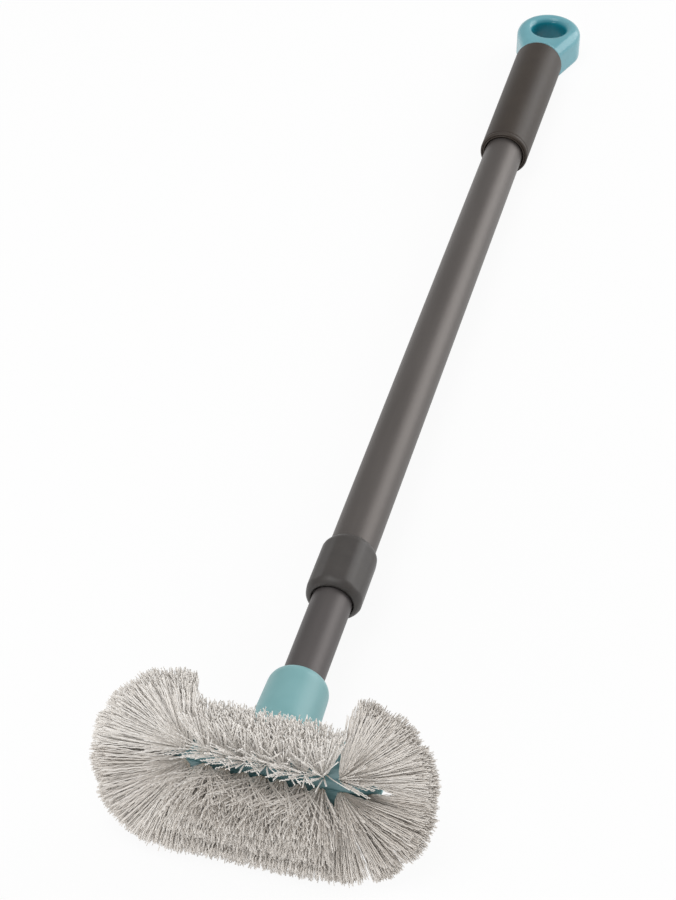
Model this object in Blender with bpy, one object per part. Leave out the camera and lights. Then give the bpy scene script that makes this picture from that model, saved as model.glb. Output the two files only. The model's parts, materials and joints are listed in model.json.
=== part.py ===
# Scrub brush on a telescopic handle: an oblong head with tufts radiating from it, a twist-lock
# telescope of two metal tubes, a soft grip and a hanging ring.
# Metres. In the handle's own frame Y runs up the handle from the head, X lies along the head and
# Z points out of the side that faces up when the brush lies down.

import math
import random

import bmesh
import bpy
from mathutils import Vector

# Tubes
OUTER_TUBE_RADIUS = 0.011
INNER_TUBE_RADIUS = 0.0095
TUBE_WALL = 0.0012
SEAT_GAP = 0.0003

# Places along the handle, measured from the middle of the head's face
SOCKET_TOP = 0.055
COLLAR_BOTTOM = 0.1053
COLLAR_LENGTH = 0.0334
GRIP_BOTTOM = 0.4813
GRIP_LENGTH = 0.1057
EYE_FROM_GRIP = 0.0325

# How far the telescope goes in from where it rests
PUSH_IN = 0.043
STOP_GAP = 0.0005

# Twist collar and the clamp inside it
COLLAR_RADIUS = 0.0136
COLLAR_END_RADIUS = 0.0116
COLLAR_CHAMFER = 0.0042
COLLAR_LIP = 0.0027
COLLAR_WALL = 0.0013
COLLAR_FLATS = 8
COLLAR_FLAT_DEPTH = 0.0004
COLLAR_TURN = math.radians(7.0)
FERRULE_LIP = 0.0036
FERRULE_LENGTH = 0.0215
THREAD_RIDGES = 3
THREAD_DEPTH = 0.00025
COLLET_HEIGHT = 0.0034
COLLET_WALL = 0.0012
COLLET_CONE = 0.0006
COLLET_SLIT = 0.0014

# Grip
GRIP_RADIUS_LOW = 0.0140
GRIP_RADIUS_HIGH = 0.01463
GRIP_EDGE = 0.0012

# Hanging ring
RING_RADIUS = 0.0200
EYE_RADIUS = 0.0105
RING_HALF_HEIGHT = 0.01025
RING_EDGE = 0.0040
RING_DROP = 0.00325
NECK_RADIUS = 0.0144
NECK_LENGTH = 0.0100
NECK_FOOT_RADIUS = 0.0125
STEM_LENGTH = 0.0315
PIN_RADIUS = 0.0015
PIN_FROM_STEM_END = 0.0145

# Bush at the top of the inner tube and threaded plug at its foot
BUSH_HEAD = 0.0065
PLUG_STEM = 0.0150
INSERT_FLANGE = 0.0027
INSERT_THREAD_RADIUS = 0.0060
INSERT_THREAD_LENGTH = 0.0100
INSERT_RIDGES = 4

# Head: an oblong block whose face is tilted to the handle, and the socket behind it
HEAD_TILT = math.radians(60.0)
FACE_ABOVE_AXIS = 0.0062
BLOCK_HALF_SPAN = 0.034
BLOCK_RADIUS = 0.0148
FLAT_RADIUS = 0.0075
FACET_DROP = 0.0050
BLOCK_DEPTH = 0.0140
BLOCK_EDGE = 0.0023
RIB_HALF_WIDTH = 0.0019
RIB_HEIGHT = 0.0008
SOCKET_RADIUS = 0.0141
SOCKET_SWELL_RADIUS = 0.0148
SOCKET_ROOT_RADIUS = 0.0115
SOCKET_SHOULDER = 0.0060
SOCKET_SWELL_PLACE = 0.026
SOCKET_ROOT_PLACE = 0.006
TUBE_DEPTH_IN_SOCKET = 0.0347

# Tufts
SLICE_THICKNESS = 0.0012
STRANDS_PER_TUFT = ((-1, (-0.6, 0.6)), (0, (-1.0, -0.34, 0.34, 1.0)), (1, (-0.6, 0.6)))
STRAND_RADIUS = 0.00038
ROOT_DEPTH = 0.00078
TUFT_HALF_WIDTH = 0.00135
TUFT_HALF_DEPTH = 0.00095
TUFT_PITCH = BLOCK_HALF_SPAN / 4.1
INNER_ROW_TUFTS = 7
INNER_ROW_OFFSET = 0.0039
OUTER_ROW_TUFTS = 7
OUTER_ROW_PITCH = BLOCK_HALF_SPAN / 4.0
OUTER_ROW_RADIUS = 0.011
FACET_SLOPE = FACET_DROP / (BLOCK_RADIUS - FLAT_RADIUS)
INNER_STRAND_LENGTH = 0.034
INNER_LEAN = 38.0
OUTER_STRAND_LENGTH = 0.0308
OUTER_LEAN = 66.0
LENGTH_SPREAD = 0.0014
END_TUFT_RADIUS = 0.0060
END_TUFT_ANGLE = 42.0
END_OUTER_TUFTS = ((88.0, 79.0, 7.5), (56.0, 54.0, 15.0), (24.0, 18.0, 14.0))

# How the brush lies: the height of the handle's axis over the floor at the head
AXIS_HEIGHT_AT_HEAD = 0.0250

ROUND_STEPS = 48
INSIDE_STEPS = 36
SMOOTH_ANGLE = math.radians(38.0)

COLLAR_TOP = COLLAR_BOTTOM + COLLAR_LENGTH
GRIP_TOP = GRIP_BOTTOM + GRIP_LENGTH
EYE_PLACE = GRIP_TOP + EYE_FROM_GRIP
TUBE_BORE_RADIUS = OUTER_TUBE_RADIUS - TUBE_WALL
COLLAR_BORE_RADIUS = COLLAR_RADIUS - COLLAR_WALL
FERRULE_BOTTOM = COLLAR_BOTTOM + COLLAR_LIP + COLLET_HEIGHT + 2 * SEAT_GAP
OUTER_TUBE_BOTTOM = FERRULE_BOTTOM + FERRULE_LIP + SEAT_GAP
OUTER_TUBE_TOP = GRIP_TOP - 0.004
STEM_BOTTOM = GRIP_TOP + SEAT_GAP - STEM_LENGTH
BUSH_TOP = STEM_BOTTOM - STOP_GAP - PUSH_IN
INNER_TUBE_TOP = BUSH_TOP - BUSH_HEAD - SEAT_GAP
INNER_TUBE_BORE = INNER_TUBE_RADIUS - TUBE_WALL
SOCKET_BORE_RADIUS = INNER_TUBE_RADIUS + SEAT_GAP
INSERT_BOTTOM_OF_FLANGE = SOCKET_TOP - TUBE_DEPTH_IN_SOCKET + SEAT_GAP
INNER_TUBE_BOTTOM = INSERT_BOTTOM_OF_FLANGE + INSERT_FLANGE + SEAT_GAP
GRIP_REST_PLACE = GRIP_TOP - 0.5 * GRIP_EDGE
LYING_SLOPE = (AXIS_HEIGHT_AT_HEAD - GRIP_RADIUS_HIGH) / GRIP_REST_PLACE
LYING_PITCH = math.atan(LYING_SLOPE)


def clear_scene():
    for obj in list(bpy.data.objects):
        bpy.data.objects.remove(obj, do_unlink=True)


def make_material(name, colour, roughness, metallic=0.0):
    material = bpy.data.materials.new(name)
    material.use_nodes = True
    shader = material.node_tree.nodes["Principled BSDF"]
    shader.inputs["Base Color"].default_value = (*colour, 1.0)
    shader.inputs["Roughness"].default_value = roughness
    shader.inputs["Metallic"].default_value = metallic
    material.diffuse_color = (*colour, 1.0)
    return material


def make_empty(name, parent=None, location=(0, 0, 0), tilt=0.0):
    empty = bpy.data.objects.new(name, None)
    bpy.context.scene.collection.objects.link(empty)
    empty.parent = parent
    empty.location = location
    empty.rotation_euler.x = tilt
    return empty


def make_object(name, mesh, parent, material=None, location=(0, 0, 0)):
    obj = bpy.data.objects.new(name, mesh)
    bpy.context.scene.collection.objects.link(obj)
    obj.parent = parent
    obj.location = location
    if material:
        mesh.materials.append(material)
    return obj


def finish_mesh(name, bm, oriented=False):
    if not oriented:
        bmesh.ops.recalc_face_normals(bm, faces=bm.faces)
    mesh = bpy.data.meshes.new(name)
    bm.to_mesh(mesh)
    bm.free()
    mesh.shade_smooth()
    mesh.set_sharp_from_angle(angle=SMOOTH_ANGLE)
    return mesh


def loft(name, rings, capped):
    """A skin through rings of points. Capped, its two end rings are faces; otherwise it closes on itself."""
    bm = bmesh.new()
    loops = [[bm.verts.new(point) for point in ring] for ring in rings]
    pairs = list(zip(loops[:-1], loops[1:]))
    if not capped:
        pairs.append((loops[-1], loops[0]))
    for low, high in pairs:
        count = len(low)
        for i in range(count):
            j = (i + 1) % count
            bm.faces.new((low[i], low[j], high[j], high[i]))
    if capped:
        bm.faces.new(loops[0])
        bm.faces.new(loops[-1])
    return finish_mesh(name, bm)


def circle(radius, height, steps=ROUND_STEPS):
    angles = [2 * math.pi * i / steps for i in range(steps)]
    return [Vector((radius * math.cos(t), height, radius * math.sin(t))) for t in angles]


def turned(name, profile, steps=ROUND_STEPS, capped=False):
    """A profile of (radius, place along Y) points turned about the handle's axis."""
    return loft(name, [circle(radius, place, steps) for radius, place in profile], capped)


def tube_profile(inner, outer, low, high):
    return [(inner, low), (outer, low), (outer, high), (inner, high)]


def ridges(radius, depth, low, high, count):
    """Outer profile of a thread drawn as rings, from low to high."""
    pitch = (high - low) / count
    points = []
    for i in range(count):
        base = low + i * pitch
        points += [(radius - depth, base), (radius, base + 0.35 * pitch), (radius, base + 0.65 * pitch)]
    return points + [(radius - depth, high)]


def add_boolean(obj, other, operation):
    modifier = obj.modifiers.new(other.name, "BOOLEAN")
    modifier.operation = operation
    modifier.object = other
    modifier.solver = "EXACT"
    other.hide_render = True
    other.display_type = "WIRE"


def rounded_flat_radius(radius, angle):
    """Radius of a round section with shallow flats."""
    sector = 2 * math.pi / COLLAR_FLATS
    from_flat = (angle + sector / 2) % sector - sector / 2
    return min(radius, (radius - COLLAR_FLAT_DEPTH) / math.cos(from_flat))


def collar_ring(radius, place, flatted, steps):
    points = []
    for i in range(steps):
        angle = 2 * math.pi * i / steps
        r = rounded_flat_radius(radius, angle) if flatted else radius
        turn = angle + COLLAR_TURN
        points.append(Vector((r * math.cos(turn), place, r * math.sin(turn))))
    return points


def build_collar(parent, material):
    length = COLLAR_LENGTH
    end = COLLAR_END_RADIUS
    hole = INNER_TUBE_RADIUS + 2.4 * SEAT_GAP
    top_bore = OUTER_TUBE_RADIUS + SEAT_GAP
    profile = [
        (hole, 0.0006, False),
        (hole + 0.0006, 0.0, False),
        (end, 0.0004, False),
        (COLLAR_RADIUS - 0.0006, COLLAR_CHAMFER * 0.55, False),
        (COLLAR_RADIUS, COLLAR_CHAMFER, True),
        (COLLAR_RADIUS, length - COLLAR_CHAMFER, True),
        (COLLAR_RADIUS - 0.0006, length - COLLAR_CHAMFER * 0.55, False),
        (end, length, False),
        (top_bore, length, False),
        (top_bore, length - COLLAR_CHAMFER, False),
        (COLLAR_BORE_RADIUS - COLLAR_FLAT_DEPTH, length - COLLAR_CHAMFER, False),
        (COLLAR_BORE_RADIUS - COLLAR_FLAT_DEPTH, COLLAR_LIP, False),
        (hole, COLLAR_LIP, False),
    ]
    steps = 6 * COLLAR_FLATS
    rings = [collar_ring(radius, place, flatted, steps) for radius, place, flatted in profile]
    return make_object("twist_collar", loft("twist_collar", rings, False), parent, material)


def build_ferrule(parent, material):
    outer = COLLAR_BORE_RADIUS - COLLAR_FLAT_DEPTH - SEAT_GAP
    sleeve = OUTER_TUBE_RADIUS + SEAT_GAP
    low = FERRULE_BOTTOM
    step = low + FERRULE_LIP
    high = low + FERRULE_LENGTH
    profile = [(TUBE_BORE_RADIUS, low)]
    profile += ridges(outer, THREAD_DEPTH, low, high, THREAD_RIDGES)
    profile += [(sleeve, high), (sleeve, step), (TUBE_BORE_RADIUS, step)]
    return make_object("threaded_ferrule", turned("threaded_ferrule", profile, INSIDE_STEPS), parent, material)


def build_collet(parent, material):
    low = COLLAR_BOTTOM + COLLAR_LIP + SEAT_GAP
    inner = INNER_TUBE_RADIUS + SEAT_GAP
    half_slit = math.asin(COLLET_SLIT / 2 / inner)
    sweep = 2 * math.pi - 2 * half_slit
    profile = [
        (inner, low),
        (inner + COLLET_WALL, low),
        (inner + COLLET_WALL + COLLET_CONE, low + COLLET_HEIGHT),
        (inner, low + COLLET_HEIGHT),
    ]
    sections = []
    for i in range(INSIDE_STEPS + 1):
        angle = half_slit + sweep * i / INSIDE_STEPS
        sections.append([Vector((r * math.cos(angle), y, r * math.sin(angle))) for r, y in profile])
    return make_object("split_collet", loft("split_collet", sections, True), parent, material)


def build_tubes(root, head, material_outer, material_inner):
    outer = turned("outer_tube", tube_profile(TUBE_BORE_RADIUS, OUTER_TUBE_RADIUS, OUTER_TUBE_BOTTOM, OUTER_TUBE_TOP))
    outer_tube = make_object("outer_tube", outer, root, material_outer)
    inner = turned("inner_tube", tube_profile(INNER_TUBE_BORE, INNER_TUBE_RADIUS, INNER_TUBE_BOTTOM, INNER_TUBE_TOP))
    make_object("inner_tube", inner, head, material_inner)
    return outer_tube


def build_bush(parent, material):
    stem = INNER_TUBE_BORE - SEAT_GAP
    shoulder = BUSH_TOP - BUSH_HEAD
    profile = [
        (stem, shoulder - PLUG_STEM),
        (stem, shoulder),
        (INNER_TUBE_RADIUS, shoulder),
        (INNER_TUBE_RADIUS, BUSH_TOP),
    ]
    return make_object("guide_bush", turned("guide_bush", profile, INSIDE_STEPS, True), parent, material)


def build_insert(parent, material):
    stem = INNER_TUBE_BORE - SEAT_GAP
    flange_low = INSERT_BOTTOM_OF_FLANGE
    flange_high = flange_low + INSERT_FLANGE
    thread_low = flange_low - INSERT_THREAD_LENGTH
    profile = ridges(INSERT_THREAD_RADIUS, 0.0007, thread_low, flange_low, INSERT_RIDGES)
    profile += [
        (INNER_TUBE_RADIUS, flange_low),
        (INNER_TUBE_RADIUS, flange_high),
        (stem, flange_high),
        (stem, flange_high + PLUG_STEM),
    ]
    return make_object("tube_end_insert", turned("tube_end_insert", profile, INSIDE_STEPS, True), parent, material)


def build_grip(parent, material):
    bore = OUTER_TUBE_RADIUS + SEAT_GAP
    low = GRIP_BOTTOM
    high = GRIP_TOP
    wall = GRIP_RADIUS_LOW - bore
    profile = [
        (bore, low + 0.9 * GRIP_EDGE),
        (bore + 0.25 * wall, low + 0.2 * GRIP_EDGE),
        (bore + 0.5 * wall, low),
        (GRIP_RADIUS_LOW - 0.3 * GRIP_EDGE, low + 0.3 * GRIP_EDGE),
        (GRIP_RADIUS_LOW, low + GRIP_EDGE),
        (GRIP_RADIUS_HIGH, high - 0.5 * GRIP_EDGE),
        (GRIP_RADIUS_HIGH - 0.5 * GRIP_EDGE, high),
        (bore, high),
    ]
    return make_object("grip_sleeve", turned("grip_sleeve", profile), parent, material)


def ring_outline(arc_steps=30, side_steps=3, base_steps=6):
    """Plan of the ring about its eye: points and outward normals, a round end drawn in to the grip."""
    foot = Vector((NECK_FOOT_RADIUS, SEAT_GAP + 0.5 * NECK_LENGTH - EYE_FROM_GRIP))
    foot_angle = math.atan2(foot.y, foot.x)
    tangent_angle = foot_angle + math.acos(RING_RADIUS / foot.length)
    points = []
    for i in range(arc_steps + 1):
        angle = tangent_angle + (math.pi - 2 * tangent_angle) * i / arc_steps
        normal = Vector((math.cos(angle), math.sin(angle)))
        points.append((normal * RING_RADIUS, normal))
    touch, side_normal = points[-1]
    far_foot = Vector((-foot.x, foot.y))
    for i in range(1, side_steps + 1):
        points.append((touch.lerp(far_foot, i / side_steps), side_normal))
    for i in range(1, base_steps):
        share = 1 - 2 * i / base_steps
        points.append((Vector((-foot.x * share, foot.y)), Vector((side_normal.x * share, 0.0))))
    touch, side_normal = points[0]
    for i in range(side_steps):
        points.append((foot.lerp(touch, i / side_steps), side_normal))
    return points


def ring_levels(edge_steps=4):
    """Inset and height of each level from the bottom of the ring to its top."""
    quarter = [math.pi / 2 * i / edge_steps for i in range(edge_steps + 1)]
    wall = RING_HALF_HEIGHT - RING_EDGE
    upper = [(RING_EDGE * (1 - math.cos(t)), wall + RING_EDGE * math.sin(t)) for t in quarter]
    lower = [(inset, -height) for inset, height in reversed(upper)]
    return lower + upper


def build_ring(parent, material):
    outline = ring_outline()
    outer = []
    inner = []
    for inset, height in ring_levels():
        outer.append([Vector((*(point - normal * inset), height)) for point, normal in outline])
        eye = []
        for point, normal in outline:
            angle = math.atan2(point.y, point.x)
            radius = EYE_RADIUS + inset
            eye.append(Vector((radius * math.cos(angle), radius * math.sin(angle), height)))
        inner.append(eye)
    mesh = loft("hanging_ring", outer + inner[::-1], False)
    ring = make_object("hanging_ring", mesh, parent, material, (0, EYE_PLACE, -RING_DROP))
    stem = make_object("ring_stem", stem_mesh(), parent)
    add_boolean(ring, stem, "UNION")
    return ring


def stem_mesh():
    """The ring's round stem, which plugs into the tube, and the domed neck over the end of the grip."""
    stem = TUBE_BORE_RADIUS - SEAT_GAP
    foot = GRIP_TOP + SEAT_GAP
    profile = [
        (stem, STEM_BOTTOM),
        (stem, foot),
        (NECK_RADIUS - 0.0006, foot),
        (NECK_RADIUS, foot + 0.0006),
        (NECK_RADIUS, foot + 0.15 * NECK_LENGTH),
        (NECK_FOOT_RADIUS, foot + 0.5 * NECK_LENGTH),
        (0.45 * NECK_RADIUS, foot + NECK_LENGTH),
    ]
    return turned("ring_stem", profile, capped=True)


def build_pin(parent, material, ring, outer_tube):
    place = (0, STEM_BOTTOM + PIN_FROM_STEM_END, 0)
    half = OUTER_TUBE_RADIUS - 0.0001
    mesh = turned("ring_cross_pin", [(PIN_RADIUS, -half), (PIN_RADIUS, half)], 24, True)
    pin = make_object("ring_cross_pin", mesh, parent, material, place)
    pin.rotation_euler.z = math.radians(90)
    reach = OUTER_TUBE_RADIUS + 0.003
    hole = turned("pin_hole", [(PIN_RADIUS + SEAT_GAP, -reach), (PIN_RADIUS + SEAT_GAP, reach)], 24, True)
    cutter = make_object("pin_hole", hole, parent, None, place)
    cutter.rotation_euler.z = math.radians(90)
    add_boolean(ring, cutter, "DIFFERENCE")
    add_boolean(outer_tube, cutter, "DIFFERENCE")


def oblong(radius, height, end_steps=14):
    """Outline of the block at one radius: two half rounds joined by straight sides."""
    points = []
    for side in (1, -1):
        for i in range(end_steps + 1):
            angle = side * math.pi / 2 - math.pi * i / end_steps
            x = side * BLOCK_HALF_SPAN + radius * math.cos(angle)
            points.append(Vector((x, radius * math.sin(angle), height)))
    return points


def build_head_block(parent, head_frame, material):
    seat = -(SLICE_THICKNESS + SEAT_GAP)
    rings = [
        oblong(BLOCK_RADIUS - BLOCK_EDGE, -BLOCK_DEPTH),
        oblong(BLOCK_RADIUS - 0.3 * BLOCK_EDGE, -BLOCK_DEPTH + 0.3 * BLOCK_EDGE),
        oblong(BLOCK_RADIUS, -BLOCK_DEPTH + BLOCK_EDGE),
        oblong(BLOCK_RADIUS, seat - FACET_DROP),
        oblong(FLAT_RADIUS, seat),
    ]
    block = make_object("head_block", loft("head_block", rings, True), head_frame, material)
    tip = BLOCK_HALF_SPAN + BLOCK_RADIUS - 0.0006
    bend = BLOCK_HALF_SPAN + FLAT_RADIUS
    floor = seat - FACET_DROP - 0.001
    profile = [(-tip, floor), (-tip, RIB_HEIGHT - FACET_DROP), (-bend, RIB_HEIGHT),
               (bend, RIB_HEIGHT), (tip, RIB_HEIGHT - FACET_DROP), (tip, floor)]
    sides = [[Vector((x, side * RIB_HALF_WIDTH, z)) for x, z in profile] for side in (-1, 1)]
    rib = make_object("block_rib", loft("block_rib", sides, True), head_frame)
    add_boolean(block, rib, "UNION")
    socket = make_object("handle_socket", socket_mesh(), parent)
    add_boolean(block, socket, "UNION")
    bore = make_object("socket_bore", socket_bore_mesh(), parent)
    add_boolean(block, bore, "DIFFERENCE")
    return block


def socket_mesh():
    shoulder_low = SOCKET_TOP - SOCKET_SHOULDER
    rim = SOCKET_BORE_RADIUS + 0.0007
    profile = [(SOCKET_ROOT_RADIUS, SOCKET_ROOT_PLACE), (SOCKET_SWELL_RADIUS, SOCKET_SWELL_PLACE)]
    for i in range(6):
        t = math.pi / 2 * i / 5
        radius = rim + (SOCKET_RADIUS - rim) * math.cos(t)
        profile.append((radius, shoulder_low + SOCKET_SHOULDER * math.sin(t)))
    return turned("handle_socket", profile, capped=True)


def socket_bore_mesh():
    step = SOCKET_TOP - TUBE_DEPTH_IN_SOCKET
    thread = INSERT_THREAD_RADIUS + SEAT_GAP
    bottom = INSERT_BOTTOM_OF_FLANGE - INSERT_THREAD_LENGTH - SEAT_GAP
    profile = [(thread, bottom), (thread, step), (SOCKET_BORE_RADIUS, step), (SOCKET_BORE_RADIUS, SOCKET_TOP + 0.005)]
    return turned("socket_bore", profile, capped=True)


def slice_mesh(name, low_x, high_x, side):
    """One slice of the block's tufted face, between two places along the head and on one side of the rib."""
    under = -SLICE_THICKNESS
    rings = [
        oblong(FLAT_RADIUS, under),
        oblong(BLOCK_RADIUS, under - FACET_DROP),
        oblong(BLOCK_RADIUS, -FACET_DROP),
        oblong(FLAT_RADIUS, 0.0),
    ]
    mesh = loft(name, rings, True)
    bm = bmesh.new()
    bm.from_mesh(mesh)
    bpy.data.meshes.remove(mesh)
    edge = RIB_HALF_WIDTH + SEAT_GAP
    planes = [((0, side * edge, 0), (0, side, 0)), ((low_x, 0, 0), (1, 0, 0)), ((high_x, 0, 0), (-1, 0, 0))]
    for place, keep in planes:
        geometry = bm.verts[:] + bm.edges[:] + bm.faces[:]
        cut = bmesh.ops.bisect_plane(bm, geom=geometry, plane_co=place, plane_no=keep, clear_inner=True, dist=1e-7)
        rim = [item for item in cut["geom_cut"] if isinstance(item, bmesh.types.BMEdge)]
        if rim:
            bmesh.ops.holes_fill(bm, edges=rim, sides=0)
    bmesh.ops.triangulate(bm, faces=[face for face in bm.faces if len(face.verts) > 4])
    return finish_mesh(name, bm)


def pointing(azimuth, lean):
    """Direction in the head's frame: azimuth within the face, lean away from the face's normal, in degrees."""
    a = math.radians(azimuth)
    b = math.radians(lean)
    return Vector((math.cos(a) * math.sin(b), math.sin(a) * math.sin(b), math.cos(b)))


def tuft(root, azimuth, fan, lean, lean_spread, first, length, pick, slope=0.0):
    """Centre lines of one tuft's strands: buried foot, bend, tip. first is (lean, its spread, length)."""
    across = Vector((-math.sin(math.radians(azimuth)), math.cos(math.radians(azimuth)), 0))
    outward = Vector((math.cos(math.radians(azimuth)), math.sin(math.radians(azimuth)), -slope))
    first_lean, first_spread, first_length = first
    strands = []
    for row, columns in STRANDS_PER_TUFT:
        for column in columns:
            foot = root + across * (column * TUFT_HALF_WIDTH) + outward * (row * TUFT_HALF_DEPTH)
            turn = azimuth + column * fan
            rise = first_length * pick.uniform(0.93, 1.07)
            bend = foot + pointing(turn, first_lean + row * first_spread) * rise
            rest = length - first_length + pick.uniform(-LENGTH_SPREAD, LENGTH_SPREAD)
            tip = bend + pointing(turn, lean + row * lean_spread) * rest
            strands.append([foot, bend, tip])
    return strands


def inner_tuft(x, side, pick, azimuth=90.0, fan=4.2):
    root = Vector((x, side * INNER_ROW_OFFSET, -ROOT_DEPTH))
    return tuft(root, side * azimuth, fan, INNER_LEAN, 13.0, (18.0, 9.0, 0.0045), INNER_STRAND_LENGTH, pick)


def inner_end_tuft(side, pick):
    angle = math.radians(END_TUFT_ANGLE)
    x = BLOCK_HALF_SPAN + END_TUFT_RADIUS * math.cos(angle) - 0.0005
    root = Vector((x, side * END_TUFT_RADIUS * math.sin(angle), -ROOT_DEPTH))
    lean = INNER_LEAN + 6.0
    return tuft(root, side * END_TUFT_ANGLE, 25.0, lean, 12.0, (18.0, 9.0, 0.0045), INNER_STRAND_LENGTH, pick)


def outer_tuft(centre_x, angle, azimuth, fan, pick):
    depth = (OUTER_ROW_RADIUS - FLAT_RADIUS) * FACET_SLOPE + ROOT_DEPTH
    t = math.radians(angle)
    x = centre_x + OUTER_ROW_RADIUS * math.cos(t)
    root = Vector((x, OUTER_ROW_RADIUS * math.sin(t), -depth))
    first = (OUTER_LEAN - 12.0, 8.0, 0.0035)
    return tuft(root, azimuth, fan, OUTER_LEAN, 8.0, first, OUTER_STRAND_LENGTH, pick, FACET_SLOPE)


def end_strands(side, pick):
    """Strands at the +X end of the head, on one side of the rib."""
    x = TUFT_PITCH * (INNER_ROW_TUFTS + 1) / 2
    strands = inner_tuft(x, side, pick, 82.0, 8.0)
    strands += inner_end_tuft(side, pick)
    for angle, azimuth, fan in END_OUTER_TUFTS:
        strands += outer_tuft(BLOCK_HALF_SPAN, side * angle, side * azimuth, fan, pick)
    return strands


def above_floor(point):
    """Height of a point of the head's frame over the floor that the brush lies on."""
    along = point.y * math.cos(HEAD_TILT) - point.z * math.sin(HEAD_TILT)
    up = point.y * math.sin(HEAD_TILT) + point.z * math.cos(HEAD_TILT) + FACE_ABOVE_AXIS
    return (up + AXIS_HEIGHT_AT_HEAD - along * LYING_SLOPE) * math.cos(LYING_PITCH)


def trim_to_floor(strand):
    """Shorten a strand that would reach into the floor, so that the tuft is cut flat where it rests."""
    foot, bend, tip = strand
    low = above_floor(tip) - STRAND_RADIUS
    if low < 0:
        high = above_floor(bend) - STRAND_RADIUS
        tip = bend.lerp(tip, high / (high - low))
    return [foot, bend, tip]


def strand_rings(points):
    """Three-sided rings square to a strand at its foot, bend and tip."""
    directions = [points[1] - points[0], points[2] - points[0], points[2] - points[1]]
    rings = []
    for point, direction in zip(points, directions):
        axis = direction.normalized()
        across = axis.cross(Vector((0, 0, 1))).normalized()
        up = axis.cross(across)
        ring = []
        for i in range(3):
            t = 2 * math.pi * i / 3
            ring.append(point + (across * math.cos(t) + up * math.sin(t)) * STRAND_RADIUS)
        rings.append(ring)
    return rings


def strands_mesh(name, strands):
    bm = bmesh.new()
    for strand in strands:
        loops = [[bm.verts.new(p) for p in ring] for ring in strand_rings(strand)]
        for low, high in zip(loops[:-1], loops[1:]):
            for i in range(3):
                j = (i + 1) % 3
                bm.faces.new((low[i], low[j], high[j], high[i]))
        bm.faces.new(loops[0][::-1])
        bm.faces.new(loops[-1])
    return finish_mesh(name, bm, oriented=True)


def build_bristles(name, low_x, high_x, side, strands, head_frame, material):
    trimmed = [trim_to_floor(strand) for strand in strands]
    node = make_object(name, slice_mesh(name, low_x, high_x, side), head_frame, material)
    hair = make_object(name + "_strands", strands_mesh(name + "_strands", trimmed), head_frame)
    add_boolean(node, hair, "UNION")
    return trimmed


def mirrored(strands):
    return [[Vector((-p.x, p.y, p.z)) for p in strand] for strand in strands]


def build_all_bristles(head_frame, material):
    """Six tufted slices: one over and one under the rib in the middle, and two at each end."""
    split = TUFT_PITCH * INNER_ROW_TUFTS / 2
    half_gap = SEAT_GAP / 2
    far = BLOCK_HALF_SPAN + BLOCK_RADIUS + 0.001
    near = split - half_gap
    pick = random.Random(11)
    xs = [TUFT_PITCH * (i - (INNER_ROW_TUFTS - 1) / 2) for i in range(INNER_ROW_TUFTS)]
    upper = [strand for x in xs for strand in inner_tuft(x, 1, pick)]
    lower = [strand for x in xs for strand in inner_tuft(x, -1, pick)]
    for i in range(OUTER_ROW_TUFTS):
        x = OUTER_ROW_PITCH * (i - (OUTER_ROW_TUFTS - 1) / 2)
        lower += outer_tuft(x, -90.0, -90.0, 4.5, pick)
    right_upper = end_strands(1, pick)
    right_lower = end_strands(-1, pick)
    every = build_bristles("bristles_upper_row", -near, near, 1, upper, head_frame, material)
    every += build_bristles("bristles_lower_rows", -near, near, -1, lower, head_frame, material)
    ends = [("upper", 1, right_upper), ("lower", -1, right_lower)]
    for word, side, strands in ends:
        near_end = split + half_gap
        name = "bristles_right_" + word
        every += build_bristles(name, near_end, far, side, strands, head_frame, material)
        name = "bristles_left_" + word
        every += build_bristles(name, -far, -near_end, side, mirrored(strands), head_frame, material)
    return every


def point_to_segment(point, start, end):
    along = end - start
    share = max(0.0, min(1.0, (point - start).dot(along) / along.length_squared))
    return (point - start - along * share).length


def least_gap(strands, samples=9):
    """The least clear distance between any two strands, from points along each of them."""
    least = 1.0
    clouds = []
    for foot, bend, tip in strands:
        half = [foot.lerp(bend, i / 3) for i in range(3)]
        clouds.append(half + [bend.lerp(tip, i / samples) for i in range(samples + 1)])
    for i, cloud in enumerate(clouds):
        for j, (foot, bend, tip) in enumerate(strands):
            if j == i or (foot - strands[i][0]).length > 2.5 * TUFT_PITCH:
                continue
            for point in cloud:
                gap = min(point_to_segment(point, foot, bend), point_to_segment(point, bend, tip))
                least = min(least, gap)
    return least - 2 * STRAND_RADIUS


def settle(lying_frame):
    """Lie the brush down with its grip and bristles on the floor and its box centred on the origin."""
    bpy.context.view_layer.update()
    graph = bpy.context.evaluated_depsgraph_get()
    places = []
    for obj in bpy.context.scene.objects:
        if obj.type == "MESH" and not obj.hide_render:
            evaluated = obj.evaluated_get(graph)
            places += [evaluated.matrix_world @ vert.co for vert in evaluated.data.vertices]
    low = [min(p[k] for p in places) for k in range(3)]
    high = [max(p[k] for p in places) for k in range(3)]
    lying_frame.location.y -= (low[1] + high[1]) / 2
    lying_frame.location.z -= low[2]
    bpy.context.view_layer.update()
    print("handle axis starts at", [round(v, 6) for v in lying_frame.matrix_world.translation])
    print("handle axis runs along", [round(v, 6) for v in lying_frame.matrix_world.to_3x3().col[1]])
    print("size", [round(high[k] - low[k], 6) for k in range(3)], "lowest", round(low[2], 6))


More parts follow.
